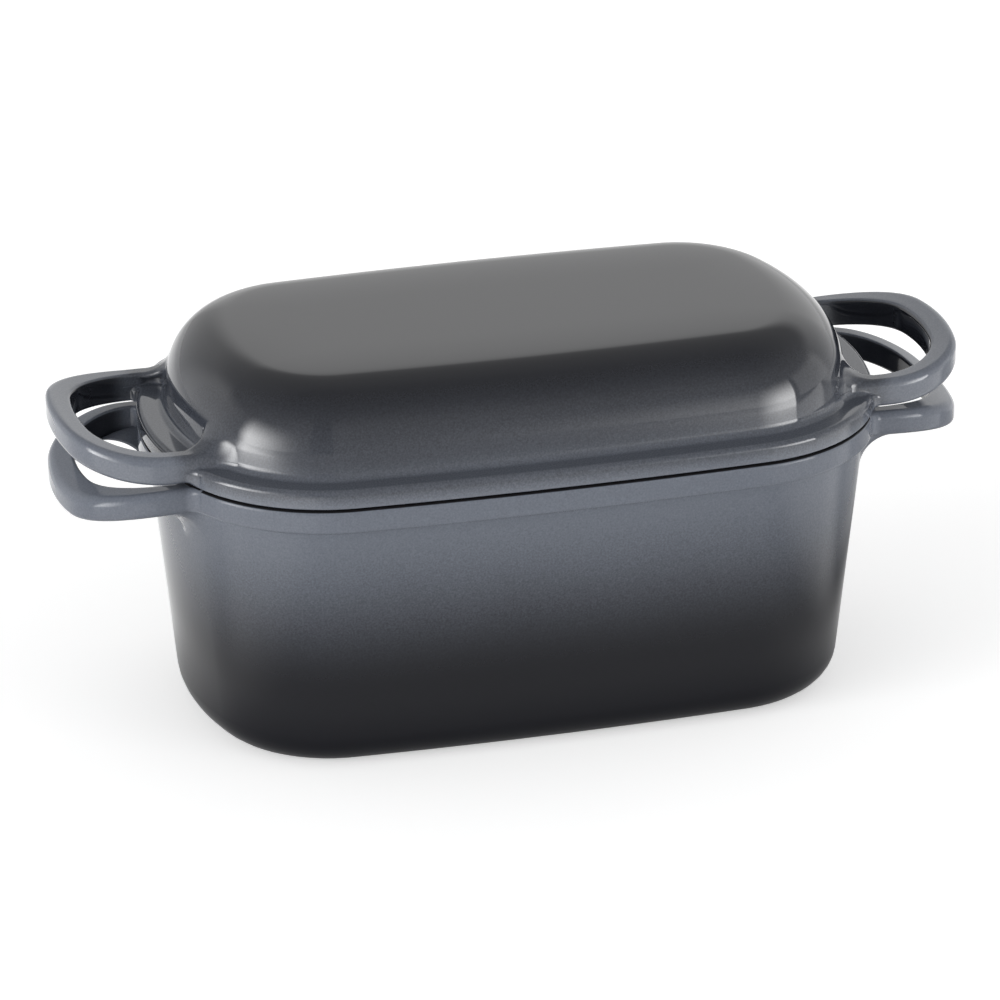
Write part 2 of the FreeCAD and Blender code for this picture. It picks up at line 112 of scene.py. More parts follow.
class Wire:
    """A node socket that adds Math nodes when it is used in an expression."""

    def __init__(self, shader, socket):
        self.shader = shader
        self.socket = socket

    def join(self, operation, first, second=None):
        inputs = {0: first} if second is None else {0: first, 1: second}
        return self.shader.add("ShaderNodeMath", inputs, operation=operation)

    def __add__(self, other):
        return self.join("ADD", self, other)

    def __radd__(self, other):
        return self.join("ADD", other, self)

    def __sub__(self, other):
        return self.join("SUBTRACT", self, other)

    def __rsub__(self, other):
        return self.join("SUBTRACT", other, self)

    def __mul__(self, other):
        return self.join("MULTIPLY", self, other)

    def __gt__(self, other):
        return self.join("GREATER_THAN", self, other)

    def __abs__(self):
        return self.join("ABSOLUTE", self)

    def at_least(self, other):
        """The greater of this and another value."""
        return self.join("MAXIMUM", self, other)

    def squared(self):
        return self.join("MULTIPLY", self, self)

    def power(self, exponent):
        return self.join("POWER", self, exponent)

    def root(self):
        return self.join("SQRT", self)

    def around(self, along):
        """Azimuth from -Y towards +X of the way whose X this is."""
        return self.join("ARCTAN2", self, along * -1.0)

    def ramp(self, low, high):
        """Smooth step from 0 at low to 1 at high."""
        inputs = {"Value": self, "From Min": low, "From Max": high}
        return self.shader.add("ShaderNodeMapRange", inputs, interpolation_type="SMOOTHSTEP")

    def over(self, base, top):
        """The base colour where this is 0 and the top colour where it is 1."""
        inputs = {"Factor": self, "A": base, "B": top}
        return self.shader.add("ShaderNodeMix", inputs, data_type="RGBA")


class Shader:
    """A node tree that is built from expressions."""

    def __init__(self, owner):
        owner.use_nodes = True
        self.tree = owner.node_tree
        self.tree.nodes.clear()

    def add(self, kind, inputs=None, out=None, **settings):
        node = self.tree.nodes.new(kind)
        for name, value in settings.items():
            setattr(node, name, value)
        sockets = [each for each in node.inputs if each.enabled]
        for key, value in (inputs or {}).items():
            named = [each for each in sockets if each.name == key]
            socket = sockets[key] if isinstance(key, int) else named[0]
            if isinstance(value, Wire):
                self.tree.links.new(value.socket, socket)
            else:
                socket.default_value = value
        outputs = [each for each in node.outputs if each.enabled]
        chosen = outputs[0] if out is None else next(each for each in outputs if each.name == out)
        return Wire(self, chosen)

    def coordinates(self, kind):
        """A vector of texture coordinates, as one wire."""
        return self.add("ShaderNodeTexCoord", out=kind)

    def axes(self, vector):
        """X, Y and Z of a vector."""
        split = self.tree.nodes.new("ShaderNodeSeparateXYZ")
        self.tree.links.new(vector.socket, split.inputs[0])
        return [Wire(self, output) for output in split.outputs]

    def mark(self, name):
        """A number that the mesh carries at its points."""
        return self.add("ShaderNodeAttribute", out="Fac", attribute_name=name)

    def seen(self):
        """1 for rays from the camera, in mirrors and through glass, else 0."""
        kinds = ("Is Camera Ray", "Is Glossy Ray", "Is Transmission Ray")
        camera, glossy, through = [self.add("ShaderNodeLightPath", out=kind) for kind in kinds]
        return (camera + glossy + through) > 0.5

    def surface(self, wire, kind="ShaderNodeOutputMaterial"):
        node = self.tree.nodes.new(kind)
        self.tree.links.new(wire.socket, node.inputs["Surface"])


def rgba(colour):
    return (*colour, 1.0)


# Shapes, in millimetres until they go into a mesh

RIM_LENGTH = 268.0
RIM_WIDTH = 162.2
END_ARC = 121.9
CORNER_ARC = 59.2
SIDE_ARC = 1450.0

POT_HEIGHT = 105.8
RIM_SETBACK = 2.4
BASE_SETBACK = 13.2
BAND_HEIGHT = 9.0
POT_WALL = 4.5
POT_FLOOR = 5.0
WALL_SLOPE = (BASE_SETBACK - RIM_SETBACK) / POT_HEIGHT
BASE_EDGE = 13.0
BAND_ROOT_EDGE = 1.2
BAND_EDGE = 1.4
RIM_EDGE = 1.5
RIM_INNER_EDGE = 0.9
POT_INNER_EDGE = 11.0

FLANGE_TOP = 113.3
FLANGE_EDGE = 2.0
SEAM_RELIEF = 0.5
SEAM_INSET = 3.0
SEAM_EDGE = 0.9
SEAT_EDGE = 0.15
DOME_FOOT_SETBACK = 10.0
DOME_FOOT_EDGE = 3.0
DOME_TOP_SETBACK = 13.0
DOME_EDGE = 25.5
LID_TOP = 144.0
LID_WALL = 4.5
LIP_DEPTH = 3.0
LIP_SETBACK = 7.9
LIP_WIDTH = 5.0
LIP_EDGE = 1.0
LIP_ROOT_EDGE = 0.3
DOME_LEAN = math.atan((DOME_TOP_SETBACK - DOME_FOOT_SETBACK) / (LID_TOP - FLANGE_TOP))

# Steps of the pot's rim edge that have the satin coat of the rim, half of its arc
HALF_RIM_EDGE = 4

# Where profiles end near the middle, and how far apart their points may be
PROFILE_END = 56.0
RIDGE_END = 60.0
LONGEST_STEP = 4.0

HANDLE_TIP = 167.5
HANDLE_HALF = 44.2
TIP_ARC = 100.0
TIP_CORNER = 31.0
GRIP_TIP = 9.2
GRIP_ARM = 7.3
HOLE_TIP_ARC = 90.0
HOLE_CORNER = 27.0
BEND_START = 131.0
LID_BEND_ARC = 117.0
POT_BEND_ARC = 91.0
LOOP_ROOT = 84.0
LOOP_OUTER_EDGE = 3.0
LOOP_INNER_EDGE = 1.5
OUTER_FLARE = 6.0
OPENING_FLARE = 2.5
POT_LOOP_THICKNESS = 9.5
POT_HANDLE_TOP = POT_HEIGHT - 0.6
POT_HANDLE_FOOT = POT_HANDLE_TOP - POT_LOOP_THICKNESS
LID_LOOP_THICKNESS = 10.5
LID_HANDLE_FOOT = POT_HEIGHT + 1.5
BURIED_DEPTH = 1.3

# Rolled fillets at the roots, with the outer and the inner side of an arm as a pair
POT_ROOT_SIDES = (9.0, 3.0)
POT_ROOT_BELOW = 15.5
POT_ROOT_BELOW_CHANGE = 1.5
POT_ROOT_ABOVE = 0.4
LID_ROOT_SIDES = (18.0, 5.0)
LID_ROOT_ABOVE = 12.0
LID_ROOT_BELOW = 0.8
LEDGE_FILLETS = (2.2, 1.2)


def fade(value, low, high):
    """Smooth step from 0 at low to 1 at high."""
    part = np.clip((value - low) / (high - low), 0, 1)
    return part * part * (3 - 2 * part)


def arc_centres():
    """Centres of the end arc, the side arc and the corner arc that touches both."""
    end_x = RIM_LENGTH / 2 - END_ARC
    side_y = RIM_WIDTH / 2 - SIDE_ARC
    to_end = END_ARC - CORNER_ARC
    to_side = SIDE_ARC - CORNER_ARC
    between = math.hypot(end_x, side_y)
    along = (to_end**2 - to_side**2 + between**2) / (2 * between)
    off = math.sqrt(to_end**2 - along**2)
    unit_x, unit_y = -end_x / between, side_y / between
    return end_x, side_y, end_x + along * unit_x - off * unit_y, along * unit_y + off * unit_x


END_X, SIDE_Y, CORNER_X, CORNER_Y = arc_centres()
TURN_END = math.atan2(CORNER_Y, CORNER_X - END_X)
TURN_SIDE = math.atan2(CORNER_Y - SIDE_Y, CORNER_X)


def outline(angle, setback):
    """Point of the rim outline whose normal has an angle, moved inwards by a setback:
    the centre of the arc there, plus the arc's radius less the setback along the normal."""
    across, along = np.cos(angle), np.sin(angle)
    fold = np.arctan2(np.abs(along), np.abs(across))
    where = [fold < TURN_END, fold < TURN_SIDE]
    centre_x = np.select(where, [END_X, CORNER_X], 0.0) * np.sign(across)
    centre_y = np.select(where, [0.0, CORNER_Y], SIDE_Y) * np.sign(along)
    reach = np.select(where, [END_ARC, CORNER_ARC], SIDE_ARC) - setback
    return centre_x + reach * across, centre_y + reach * along


def setback_at(x, y):
    """Distance of a point inside the rim outline, negative outside: the radius of the
    arc that faces the point less the point's distance from that arc's centre."""
    x, y = np.abs(x), np.abs(y)
    turn = np.arctan2(y - CORNER_Y, x - CORNER_X)
    to_end = END_ARC - np.hypot(x - END_X, y)
    to_side = SIDE_ARC - np.hypot(x, y - SIDE_Y)
    to_corner = CORNER_ARC - np.hypot(x - CORNER_X, y - CORNER_Y)
    return np.where(turn < TURN_END, to_end, np.where(turn > TURN_SIDE, to_side, to_corner))


def ring_angles():
    """Normal angles round the outline, closest together on the round corners."""
    end = np.linspace(0, TURN_END, 12, endpoint=False)
    corner = np.linspace(TURN_END, TURN_SIDE, 44, endpoint=False)
    side = np.linspace(TURN_SIDE, math.pi / 2, 12, endpoint=False)
    quarter = np.concatenate((end, corner, side))
    half = np.concatenate((quarter, [math.pi / 2], math.pi - quarter[:0:-1]))
    return np.concatenate((half, half + math.pi))


def rounded(corners, steps=9):
    """Path through corners (setback, height, radius). Each corner is turned on an arc
    that touches both of its sides, with one more point a little way along each side."""
    path = []
    points = [np.array(corner[:2]) for corner in corners]
    for before, here, after, corner in zip(points, points[1:], points[2:], corners[1:]):
        radius = corner[2]
        back = (before - here) / np.linalg.norm(before - here)
        ahead = (after - here) / np.linalg.norm(after - here)
        half = math.acos(np.clip(back @ ahead, -1, 1)) / 2
        reach = radius / math.tan(half)
        middle = (back + ahead) / np.linalg.norm(back + ahead)
        centre = here + middle * radius / math.sin(half)
        swing = math.pi / 2 - half
        turn = np.linspace(-swing, swing, steps)[:, None]
        side = (ahead - back) / np.linalg.norm(ahead - back)
        extra = min(0.25, 0.2 * radius)
        path.append(here + back * (reach + extra))
        path.extend(centre - middle * radius * np.cos(turn) + side * radius * np.sin(turn))
        path.append(here + ahead * (reach + extra))
    return np.array([points[0], *path, points[-1]])


def between_points(path, gap):
    """The same path with its long steps divided into steps under a gap."""
    filled = [path[:1]]
    for start, end in zip(path, path[1:]):
        count = max(1, math.ceil(np.linalg.norm(end - start) / gap))
        filled.append(start + (end - start) * (np.arange(1, count + 1) / count)[:, None])
    return np.concatenate(filled)


def dome_profile():
    """Outer profile of the dome from the middle of its top down to its wall. Its tilt goes
    from level to the lean of the wall, and each step of tilt goes on by the radius of
    curvature there: wide on the top, and the edge radius from a few degrees of tilt on."""
    crown_tilt, crown_radius = math.radians(6.0), 900.0
    crown = np.linspace(0, crown_tilt, 24)
    edge = np.linspace(crown_tilt, math.pi / 2 - DOME_LEAN, 46)
    tilt = np.concatenate((crown, edge[1:]))
    ease = np.clip(1 - tilt / crown_tilt, 0, 1) ** 3
    radius = DOME_EDGE + (crown_radius - DOME_EDGE) * ease
    step = np.diff(tilt)
    mean_radius = (radius[1:] + radius[:-1]) / 2
    mean_tilt = (tilt[1:] + tilt[:-1]) / 2
    out = np.concatenate(([0.0], np.cumsum(mean_radius * np.cos(mean_tilt) * step)))
    fall = np.concatenate(([0.0], np.cumsum(mean_radius * np.sin(mean_tilt) * step)))
    height = LID_TOP - fall
    wall = DOME_FOOT_SETBACK + (height[-1] - FLANGE_TOP) * math.tan(DOME_LEAN)
    return np.stack((wall + out[-1] - out, height), axis=1)


def lid_profile():
    """Closed profile of the lid: dome, ledge, flange, seat, lip, hollow wall, ceiling."""
    dome = dome_profile()
    seam = POT_HEIGHT + SEAM_RELIEF
    lip_foot = POT_HEIGHT - LIP_DEPTH
    ceiling = LID_TOP - LID_WALL
    lip_inside = LIP_SETBACK + LIP_WIDTH
    rest = rounded([
        (*dome[-1], 0), (DOME_FOOT_SETBACK, FLANGE_TOP, DOME_FOOT_EDGE),
        (0, FLANGE_TOP, FLANGE_EDGE), (0, seam, SEAM_EDGE),
        (SEAM_INSET, seam, SEAT_EDGE), (SEAM_INSET, POT_HEIGHT, SEAT_EDGE),
        (LIP_SETBACK, POT_HEIGHT, LIP_ROOT_EDGE),
        (LIP_SETBACK, lip_foot, LIP_EDGE), (lip_inside, lip_foot, LIP_EDGE),
        (DOME_TOP_SETBACK + LID_WALL, ceiling, DOME_EDGE - LID_WALL), (PROFILE_END, ceiling, 0)])
    return np.concatenate((dome, between_points(rest, LONGEST_STEP)[1:]))


def pot_profile():
    """Closed profile of the pot: base, wall, band, rim, inner wall, floor."""
    band_foot = POT_HEIGHT - BAND_HEIGHT
    under_band = BASE_SETBACK - WALL_SLOPE * band_foot
    corners = rounded([
        (PROFILE_END, 0, 0), (BASE_SETBACK, 0, BASE_EDGE),
        (under_band, band_foot, BAND_ROOT_EDGE), (0, band_foot, BAND_EDGE),
        (0, POT_HEIGHT, RIM_EDGE), (RIM_SETBACK + POT_WALL, POT_HEIGHT, RIM_INNER_EDGE),
        (BASE_SETBACK + POT_WALL, POT_FLOOR, POT_INNER_EDGE), (PROFILE_END, POT_FLOOR, 0)])
    return between_points(corners, LONGEST_STEP)


def carry_round(profile):
    """Carries a profile round the rim outline: each of its points keeps its setback and
    height at every normal angle. The first and last rings close on a line along the middle."""
    angle = ring_angles()[:, None]
    x, y = outline(angle, profile[None, :, 0])
    z = np.broadcast_to(profile[None, :, 1], x.shape)
    sheet = np.stack((x, y, z), axis=2)
    fold_x = np.clip(x[:, :1], -RIDGE_END, RIDGE_END)
    ridge = np.concatenate((fold_x, np.zeros_like(fold_x)), axis=1)
    first = np.concatenate((ridge, z[:, :1]), axis=1)[:, None]
    last = np.concatenate((ridge, z[:, -1:]), axis=1)[:, None]
    halfway = (sheet[:, :1] + first) / 2, (sheet[:, -1:] + last) / 2
    return np.concatenate((first, halfway[0], sheet, halfway[1], last), axis=1)


# Distances outside the walls that a handle runs into

def dome_distance(points):
    """Distance outside the dome: from its edge arc above the wall, else from the wall."""
    cosine, sine = math.cos(DOME_LEAN), math.sin(DOME_LEAN)
    wall, height = dome_profile()[-1]
    across = wall + DOME_EDGE * cosine - setback_at(points[..., 0], points[..., 1])
    up = points[..., 2] - height + DOME_EDGE * sine
    flat = across * cosine + up * sine
    above = up > across * math.tan(DOME_LEAN)
    return np.where(above, np.hypot(across, up), flat) - DOME_EDGE


def wall_distance(points):
    """Distance outside the leaning wall of the pot."""
    setback = setback_at(points[..., 0], points[..., 1])
    wall = RIM_SETBACK + (POT_HEIGHT - points[..., 2]) * WALL_SLOPE
    return (wall - setback) / math.hypot(1, WALL_SLOPE)


def slope_of(distance, points, step=0.01):
    """Direction in which a distance grows fastest, from differences along the axes."""
    moves = np.eye(3) * step
    rise = np.stack([distance(points + move) - distance(points - move) for move in moves], axis=-1)
    return rise / np.linalg.norm(rise, axis=-1, keepdims=True)


# Loop handles

def loop_side(tip, tip_arc, corner_arc, half, root, count):
    """Front half of one side of the loop in plan, from the root of the front arm to the
    middle of the tip: a straight arm, a corner arc and half of the tip arc, each in a
    set number of steps so that the two sides of the loop pair up."""
    corner_y = half - corner_arc
    corner_x = tip - tip_arc + math.sqrt((tip_arc - corner_arc) ** 2 - corner_y**2)
    turn = math.asin(corner_y / (tip_arc - corner_arc))
    arm_x = np.linspace(root, corner_x, count[0], endpoint=False)
    arm = np.stack((arm_x, np.full_like(arm_x, -half)), axis=1)
    bend = np.linspace(-math.pi / 2, -turn, count[1], endpoint=False)
    corner_points = corner_x + corner_arc * np.cos(bend), -corner_y + corner_arc * np.sin(bend)
    corner = np.stack(corner_points, axis=1)
    sweep = np.linspace(-turn, 0, count[2])
    nose = np.stack((tip - tip_arc + tip_arc * np.cos(sweep), tip_arc * np.sin(sweep)), axis=1)
    return np.concatenate((arm, corner, nose))


def section():
    """A round-cornered rectangle as four corner arcs with flats between them: the side
    and lift of the corner that each point belongs to, and the way it faces."""
    turn = np.linspace(0, math.pi / 2, 11)
    corners = np.array(((1, 1), (-1, 1), (-1, -1), (1, -1)))
    rows = []
    for quarter, (here, ahead) in enumerate(zip(corners, np.roll(corners, -1, axis=0))):
        angle = turn + quarter * math.pi / 2
        facing = np.stack((np.cos(angle), np.sin(angle)), axis=1)
        rows.append(np.concatenate((np.broadcast_to(here, facing.shape), facing), axis=1))
        part = (np.arange(1, 7) / 7)[:, None]
        flat = here + (ahead - here) * part
        rows.append(np.concatenate((flat, np.broadcast_to(facing[-1], flat.shape)), axis=1))
    return np.concatenate(rows).T


def loop_skin(level, rise, thickness, bend_arc):
    """Points and outward normals of the front half of a loop handle at the +X end. The
    section is carried along the loop between its outer and inner side, and its upper
    and lower face follow the bend, a circle in the side view."""
    count = (150, 110, 50)
    hole_tip, hole_half = HANDLE_TIP - GRIP_TIP, HANDLE_HALF - GRIP_ARM
    outer = loop_side(HANDLE_TIP, TIP_ARC, TIP_CORNER, HANDLE_HALF, LOOP_ROOT, count)
    inner = loop_side(hole_tip, HOLE_TIP_ARC, HOLE_CORNER, hole_half, LOOP_ROOT, count)
    side, lift, way_across, way_up = section()
    mean_edge = (LOOP_OUTER_EDGE + LOOP_INNER_EDGE) / 2
    corner = mean_edge + (LOOP_OUTER_EDGE - mean_edge) * side
    middle = (outer + inner) / 2
    half_width = np.linalg.norm(outer - inner, axis=1)[:, None] / 2
    along = (outer - inner) / (2 * half_width)
    across = side * (half_width - corner) + corner * way_across
    lifted = lift * (thickness / 2 - corner) + corner * way_up
    x = middle[:, :1] + across * along[:, :1]
    y = middle[:, 1:] + across * along[:, 1:]
    bend = np.maximum(x - BEND_START, 0)
    arch = np.sqrt(bend_arc**2 - bend**2)
    z = level + rise * thickness / 2 + lifted + rise * (bend_arc - arch)
    climb = rise * bend / arch
    facing = way_across * along[:, :1] - way_up * climb, way_across * along[:, 1:], way_up
    normal = np.stack(np.broadcast_arrays(*facing), axis=2)
    return np.stack((x, y, z), axis=2), normal / np.linalg.norm(normal, axis=2, keepdims=True)


def between_rows(sheet, place):
    """Points of a sheet at fractional rows, one set of rows for each column."""
    low = np.clip(place.astype(int), 0, sheet.shape[0] - 2)
    part = (place - low)[..., None]
    column = np.arange(sheet.shape[1])
    return sheet[low, column] * (1 - part) + sheet[low + 1, column] * part


def rolled_handle(points, normals, radius, distance):
    """Front half of a handle with a rolled fillet at its root. In each column a ball rests
    on the handle, at its radius along the normal, and moves to the root until it rests on
    the wall too. The column then goes over the ball from the wall to the handle, and on
    along the handle to the tip. One more row in front of these lies inside the metal."""
    centres = points + radius[:, None] * normals
    gap = distance(centres) - radius
    first = gap.shape[0] - 1 - np.argmax(gap[::-1] < 0, axis=0)
    column = np.arange(gap.shape[1])
    start = first + gap[first, column] / (gap[first, column] - gap[first + 1, column])
    centre = between_rows(centres, start[None])
    from_handle = -between_rows(normals, start[None])
    from_wall = -slope_of(distance, centre)
    turn = np.arccos(np.clip(np.sum(from_wall * from_handle, axis=2), -1, 1))[..., None]
    part = np.concatenate(([0, 0.004], np.linspace(0, 1, 19)[1:]))[:, None, None]
    way = (np.sin((1 - part) * turn) * from_wall + np.sin(part * turn) * from_handle) / np.sin(turn)
    ball = centre + radius[:, None] * way
    buried = centre + (radius[:, None] + BURIED_DEPTH) * from_wall
    ahead = np.linspace(0, 1, 48)[1:, None]
    arm = between_rows(points, start + (points.shape[0] - 1 - start) * ahead)
    return np.concatenate((buried, ball, arm)), way


def whole_loop(half):
    """A front half together with its mirror image at the back."""
    return np.concatenate((half, half[-2::-1] * (1, -1, 1)))


def inner_paint(loop, across):
    """How dark the coat is on a loop: 1 on the side of the finger opening, 0 elsewhere, and
    less towards the root."""
    away = fade(-setback_at(loop[..., 0], loop[..., 1]), -1.0, 12.0)
    return away * fade(-across, 0.5, 0.9)


def flare(rim_edge, arm_edge, radius, outer):
    """Fillet in plan between the edge of a flange and the front arm of a handle. The edge
    profile goes over from that of the flange to that of the arm while it is carried along
    an arc that touches both, on the outer side or on the side of the finger opening."""
    if outer:
        rim_x, rim_y, rim_arc = CORNER_X, -CORNER_Y, CORNER_ARC
        y, end = -HANDLE_HALF - radius, math.pi / 2
    else:
        rim_x, rim_y, rim_arc = END_X, 0.0, END_ARC
        y, end = GRIP_ARM - HANDLE_HALF + radius, 3 * math.pi / 2
    x = rim_x + math.sqrt((rim_arc + radius) ** 2 - (y - rim_y) ** 2)
    turn = np.linspace(math.atan2(rim_y - y, rim_x - x) % (2 * math.pi), end, 21)[:, None]
    part = fade(np.linspace(0, 1, 21), 0, 1)[:, None]
    proud = 0.04 * (1 - part)
    depth = rim_edge[:, 0] * (1 - part) + arm_edge[:, 0] * part + radius - proud
    height = rim_edge[:, 1] * (1 - part) + arm_edge[:, 1] * part
    return np.stack((x + depth * np.cos(turn), y + depth * np.sin(turn), height), axis=2)


def edge_profile(top, foot, top_radius, foot_radius):
    """Closed profile of an upright edge with round corners, as (depth, height) points."""
    turn = np.linspace(0, math.pi / 2, 9)[:, None]
    sine, cosine = np.sin(turn), np.cos(turn)
    upper = np.concatenate((top_radius * (1 - sine), top - top_radius * (1 - cosine)), axis=1)
    lower = np.concatenate((foot_radius * (1 - cosine), foot + foot_radius * (1 - sine)), axis=1)
    depth, inset = 5.0, 0.6
    return np.concatenate(([(depth, top - inset)], upper, lower, [(depth, foot + inset)]))


def foot_strip(row, way, radius):
    """Small fillet where an upright side of a handle stands on the ledge of the lid. It
    follows one column of the handle's surface and dies away at the rim."""
    away = -way[:, :2] / np.linalg.norm(way[:, :2], axis=1, keepdims=True)
    inside = np.clip(setback_at(row[:, 0], row[:, 1]) / 4.0, 0.02, 1)
    size = (radius * inside)[:, None]
    turn = np.linspace(0, math.pi / 2, 8)
    flat = np.concatenate((size * 0 - 0.4, size * (1 - np.cos(turn)), size, size * 0 - 0.4), axis=1)
    high = np.concatenate((size, size * (1 - np.sin(turn)), size * 0 - 0.4, size * 0 - 0.4), axis=1)
    place = row[:, None, :2] + flat[..., None] * away[:, None]
    return np.concatenate((place, (FLANGE_TOP + high)[..., None]), axis=2)


# Meshes

def grid_faces(rows, columns, around):
    """Quads of a grid, closed along its columns and, if it goes around, along its rows."""
    row = np.arange(rows if around else rows - 1)[:, None]
    column = np.arange(columns)[None, :]
    here = row * columns
    ahead = (row + 1) % rows * columns
    beside = (column + 1) % columns
    return np.stack((here + column, ahead + column, ahead + beside, here + beside), axis=2).reshape(-1, 4)


def new_piece(name, sheets, grey_of):
    """One mesh object from sheets of (points in millimetres, faces, inner), smooth all
    over. Inner is 0 on the outside of the casting, 1 on the inner side of the handles and
    2 on the inside and on the pot's rim. It goes into an attribute, as does the grey."""
    points, faces, inner, offset = [], [], [], 0
    for sheet_points, sheet_faces, sheet_inner in sheets:
        points.append(sheet_points.reshape(-1, 3) * MM)
        inner.append(np.broadcast_to(sheet_inner, sheet_points.shape[:-1]).ravel())
        faces.extend((face + offset).tolist() for face in sheet_faces)
        offset += points[-1].shape[0]
    mesh = bpy.data.meshes.new(name)
    mesh.from_pydata(np.concatenate(points).tolist(), [], faces)
    grey = grey_of(np.concatenate(points) / MM)
    for label, values in (("inner", np.concatenate(inner)), ("grey", grey)):
        mesh.attributes.new(label, "FLOAT", "POINT").data.foreach_set("value", values.astype(float))
    work = bmesh.new()
    work.from_mesh(mesh)
    bmesh.ops.remove_doubles(work, verts=work.verts, dist=1e-6)
    bmesh.ops.dissolve_degenerate(work, edges=work.edges, dist=1e-7)
    bmesh.ops.recalc_face_normals(work, faces=work.faces)
    work.to_mesh(mesh)
    work.free()
    mesh.shade_smooth()
    mesh.set_sharp_from_angle(angle=math.radians(38))
    piece = bpy.data.objects.new(name, mesh)
    bpy.context.scene.collection.objects.link(piece)
    return piece


def shell_sheet(profile, inside_from):
    """A profile carried round the outline. From a point of the profile on it is inside."""
    sheet = carry_round(profile)
    rows, columns = sheet.shape[:2]
    faces = grid_faces(rows, columns, True)
    inner = np.where(np.arange(columns) >= inside_from + 2, 2.0, 0.0)
    return sheet, faces[(faces % columns)[:, 3] != 0], inner


def closed_sheet(surface, inner=0.0):
    """A tube of rings with both ends closed."""
    rows, columns = surface.shape[:2]
    faces = list(grid_faces(rows, columns, False))
    faces.append(np.arange(columns))
    faces.append(np.arange(columns)[::-1] + (rows - 1) * columns)
    return surface, faces, inner


def four_corners(surface):
    """The same small sheet at the four places where an arm meets the rim."""
    return [closed_sheet(surface * turn) for turn in ((1, 1, 1), (-1, 1, 1), (1, -1, 1), (-1, -1, 1))]


def both_ends(surface, inner):
    """A loop handle at both ends of the casting."""
    return [closed_sheet(surface * turn, inner) for turn in ((1, 1, 1), (-1, 1, 1))]


def pot_sheets():
    """Pot shell, its two loop handles and the flares between their arms and the band."""
    profile = pot_profile()
    rim = int(np.argmax(profile[:, 1] > POT_HEIGHT - 0.01))
    place, _, across, up = section()
    side = np.where(across > 0, *POT_ROOT_SIDES)
    under, over = np.maximum(-up, 0) ** 3, np.maximum(up, 0) ** 2
    below = POT_ROOT_BELOW - POT_ROOT_BELOW_CHANGE * place
    radius = below * under + POT_ROOT_ABOVE * over + side * (1 - under - over)
    top, foot = POT_HANDLE_TOP, POT_HANDLE_FOOT
    points, normals = loop_skin(top, -1, POT_LOOP_THICKNESS, POT_BEND_ARC)
    half, _ = rolled_handle(points, normals, radius, wall_distance)
    loop = whole_loop(half)
    band = edge_profile(POT_HEIGHT, POT_HEIGHT - BAND_HEIGHT, RIM_EDGE, BAND_EDGE)
    outer_arm = edge_profile(top, foot, LOOP_OUTER_EDGE, LOOP_OUTER_EDGE)
    inner_arm = edge_profile(top, foot, LOOP_INNER_EDGE, LOOP_INNER_EDGE)
    outer = flare(band, outer_arm, OUTER_FLARE, True)
    opening = flare(band, inner_arm, OPENING_FLARE, False)
    return [shell_sheet(profile, rim - HALF_RIM_EDGE), *both_ends(loop, inner_paint(loop, across)),
            *four_corners(outer), *four_corners(opening)]


def lid_sheets():
    """Lid shell, its two loop handles, the flares between their arms and the flange, and
    the small fillets where the arms stand on the ledge."""
    profile = lid_profile()
    under = int(np.argmax(profile[:, 1] < POT_HEIGHT + 0.01))
    _, _, across, up = section()
    side = np.where(across > 0, *LID_ROOT_SIDES)
    above, below = np.maximum(up, 0) ** 2, np.maximum(-up, 0) ** 2
    radius = LID_ROOT_ABOVE * above + side * across**2 + LID_ROOT_BELOW * below
    points, normals = loop_skin(LID_HANDLE_FOOT, 1, LID_LOOP_THICKNESS, LID_BEND_ARC)
    half, way = rolled_handle(points, normals, radius, dome_distance)
    loop = whole_loop(half)
    facing = np.concatenate((way, -between_rows(normals, np.zeros((1, way.shape[1])))))
    strips, arm_rows = [], 6
    for column, size in zip((0, int(np.argmin(across))), LEDGE_FILLETS):
        row = half[1:1 + len(way) + arm_rows, column]
        aim = np.concatenate((way[:, column], np.broadcast_to(facing[-1, column], (arm_rows, 3))))
        strips.extend(four_corners(foot_strip(row, aim, size)))
    foot, sunk = LID_HANDLE_FOOT, (0.05, 0)
    flange = edge_profile(FLANGE_TOP, POT_HEIGHT + SEAM_RELIEF, FLANGE_EDGE, SEAM_EDGE)
    outer_arm = edge_profile(FLANGE_TOP, foot, FLANGE_EDGE, LOOP_OUTER_EDGE) + sunk
    inner_arm = edge_profile(FLANGE_TOP, foot, FLANGE_EDGE, LOOP_INNER_EDGE) + sunk
    outer = flare(flange, outer_arm, OUTER_FLARE, True)
    opening = flare(flange, inner_arm, OPENING_FLARE, False)
    return [shell_sheet(profile, under), *both_ends(loop, inner_paint(loop, across)),
            *four_corners(outer), *four_corners(opening), *strips]


# Enamel

